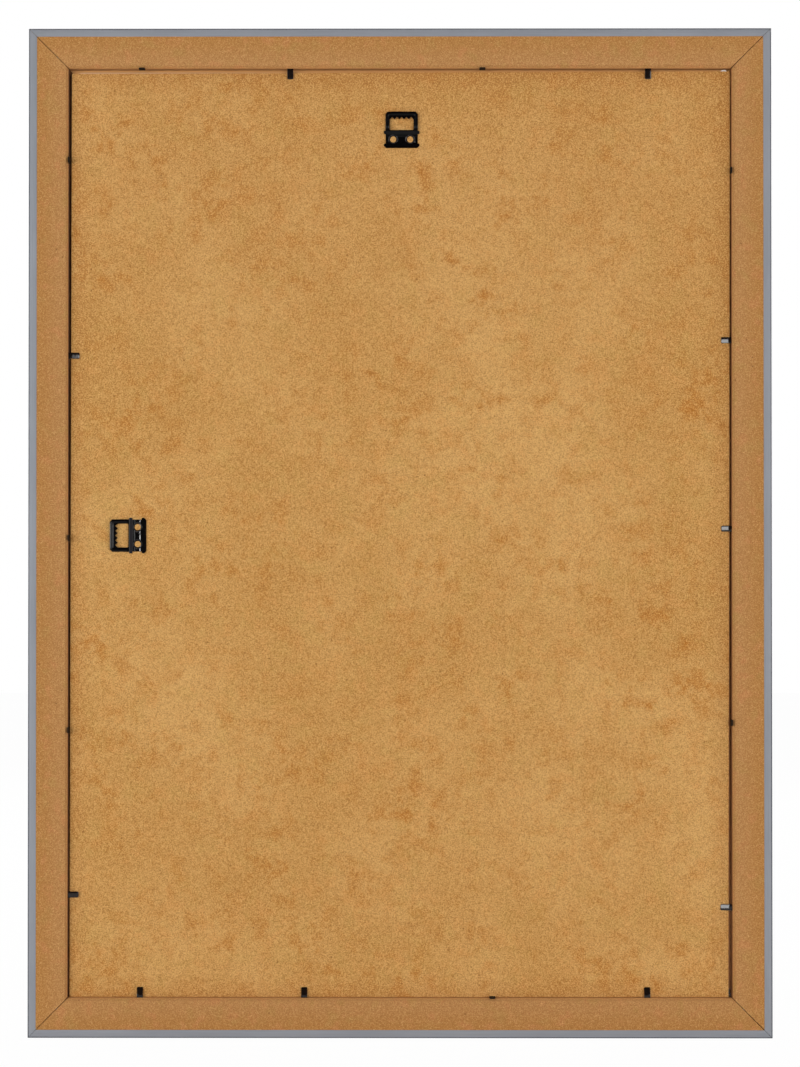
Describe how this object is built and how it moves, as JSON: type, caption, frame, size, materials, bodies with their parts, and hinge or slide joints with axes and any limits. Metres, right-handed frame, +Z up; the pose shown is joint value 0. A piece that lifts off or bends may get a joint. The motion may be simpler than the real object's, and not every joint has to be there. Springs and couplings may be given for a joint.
{
  "type": "picture frame",
  "caption": "Foil-wrapped fibreboard picture frame with a hardboard back, held in by bendable steel points, and sawtooth hangers for both ways up.",
  "frame": {"origin": "on the wall plane, where the nail sits in the middle notch of the upper (portrait) hanger", "axes": "+Z up as the frame hangs in portrait, +Y into the wall, -Y the side that shows the picture"},
  "size_m": [0.5621, 0.0187, 0.763],
  "materials": {
    "fibreboard": "bare sanded fibreboard",
    "foil": "satin silver-grey foil",
    "hardboard": "bare hardboard, mottled",
    "black_steel": "black, semi-gloss",
    "nail_steel": "dull steel",
    "glazing": "clear",
    "paper": "plain white paper"
  },
  "bodies": {
    "frame": {"rail_top": "fibreboard", "rail_right": "fibreboard", "rail_bottom": "fibreboard", "rail_left": "fibreboard", "foil_top": "foil", "foil_right": "foil", "foil_bottom": "foil", "foil_left": "foil", "corner_nails": "nail_steel", "point_anchors": "black_steel", "glazing": "glazing", "insert_sheet": "paper", "backing_board": "hardboard", "hanger_portrait": "black_steel", "hanger_landscape": "black_steel"},
    "point_top_1": {"point_top_1": "black_steel"},
    "point_top_2": {"point_top_2": "black_steel"},
    "point_top_3": {"point_top_3": "black_steel"},
    "point_top_4": {"point_top_4": "black_steel"},
    "point_right_1": {"point_right_1": "black_steel"},
    "point_right_2": {"point_right_2": "black_steel"},
    "point_right_3": {"point_right_3": "black_steel"},
    "point_right_4": {"point_right_4": "black_steel"},
    "point_right_5": {"point_right_5": "black_steel"},
    "point_bottom_1": {"point_bottom_1": "black_steel"},
    "point_bottom_2": {"point_bottom_2": "black_steel"},
    "point_bottom_3": {"point_bottom_3": "black_steel"},
    "point_bottom_4": {"point_bottom_4": "black_steel"},
    "point_left_1": {"point_left_1": "black_steel"},
    "point_left_2": {"point_left_2": "black_steel"},
    "point_left_3": {"point_left_3": "black_steel"},
    "point_left_4": {"point_left_4": "black_steel"},
    "point_left_5": {"point_left_5": "black_steel"}
  },
  "joints": [
    {"name": "bend_top_1", "type": "hinge", "parent": "frame", "child": "point_top_1", "pos_m": [-0.18665, -0.00397, 0.03525], "axis": [1, 0, 0], "range_deg": [0, 113]},
    {"name": "bend_top_2", "type": "hinge", "parent": "frame", "child": "point_top_2", "pos_m": [-0.06115, -0.00397, 0.03525], "axis": [1, 0, 0], "range_deg": [-113, 0]},
    {"name": "bend_top_3", "type": "hinge", "parent": "frame", "child": "point_top_3", "pos_m": [0.08443, -0.00397, 0.03525], "axis": [1, 0, 0], "range_deg": [0, 113]},
    {"name": "bend_top_4", "type": "hinge", "parent": "frame", "child": "point_top_4", "pos_m": [0.19663, -0.00397, 0.03525], "axis": [1, 0, 0], "range_deg": [-113, 0]},
    {"name": "bend_right_1", "type": "hinge", "parent": "frame", "child": "point_right_1", "pos_m": [0.2511, -0.00397, -0.0331], "axis": [0, 0, -1], "range_deg": [-113, 0]},
    {"name": "bend_right_2", "type": "hinge", "parent": "frame", "child": "point_right_2", "pos_m": [0.2511, -0.00397, -0.18108], "axis": [0, 0, -1], "range_deg": [0, 113]},
    {"name": "bend_right_3", "type": "hinge", "parent": "frame", "child": "point_right_3", "pos_m": [0.2511, -0.00397, -0.31922], "axis": [0, 0, -1], "range_deg": [-113, 0]},
    {"name": "bend_right_4", "type": "hinge", "parent": "frame", "child": "point_right_4", "pos_m": [0.2511, -0.00397, -0.46439], "axis": [0, 0, -1], "range_deg": [-113, 0]},
    {"name": "bend_right_5", "type": "hinge", "parent": "frame", "child": "point_right_5", "pos_m": [0.2511, -0.00397, -0.58882], "axis": [0, 0, -1], "range_deg": [0, 113]},
    {"name": "bend_bottom_1", "type": "hinge", "parent": "frame", "child": "point_bottom_1", "pos_m": [0.19788, -0.00397, -0.66525], "axis": [-1, 0, 0], "range_deg": [0, 113]},
    {"name": "bend_bottom_2", "type": "hinge", "parent": "frame", "child": "point_bottom_2", "pos_m": [0.07364, -0.00397, -0.66525], "axis": [-1, 0, 0], "range_deg": [0, 113]},
    {"name": "bend_bottom_3", "type": "hinge", "parent": "frame", "child": "point_bottom_3", "pos_m": [-0.06843, -0.00397, -0.66525], "axis": [-1, 0, 0], "range_deg": [-113, 0]},
    {"name": "bend_bottom_4", "type": "hinge", "parent": "frame", "child": "point_bottom_4", "pos_m": [-0.18539, -0.00397, -0.66525], "axis": [-1, 0, 0], "range_deg": [0, 113]},
    {"name": "bend_left_1", "type": "hinge", "parent": "frame", "child": "point_left_1", "pos_m": [-0.2484, -0.00397, -0.59831], "axis": [0, 0, 1], "range_deg": [0, 113]},
    {"name": "bend_left_2", "type": "hinge", "parent": "frame", "child": "point_left_2", "pos_m": [-0.2484, -0.00397, -0.45876], "axis": [0, 0, 1], "range_deg": [-113, 0]},
    {"name": "bend_left_3", "type": "hinge", "parent": "frame", "child": "point_left_3", "pos_m": [-0.2484, -0.00397, -0.31219], "axis": [0, 0, 1], "range_deg": [0, 113]},
    {"name": "bend_left_4", "type": "hinge", "parent": "frame", "child": "point_left_4", "pos_m": [-0.2484, -0.00397, -0.16948], "axis": [0, 0, 1], "range_deg": [0, 113]},
    {"name": "bend_left_5", "type": "hinge", "parent": "frame", "child": "point_left_5", "pos_m": [-0.2484, -0.00397, -0.04118], "axis": [0, 0, 1], "range_deg": [-113, 0]}
  ]
}
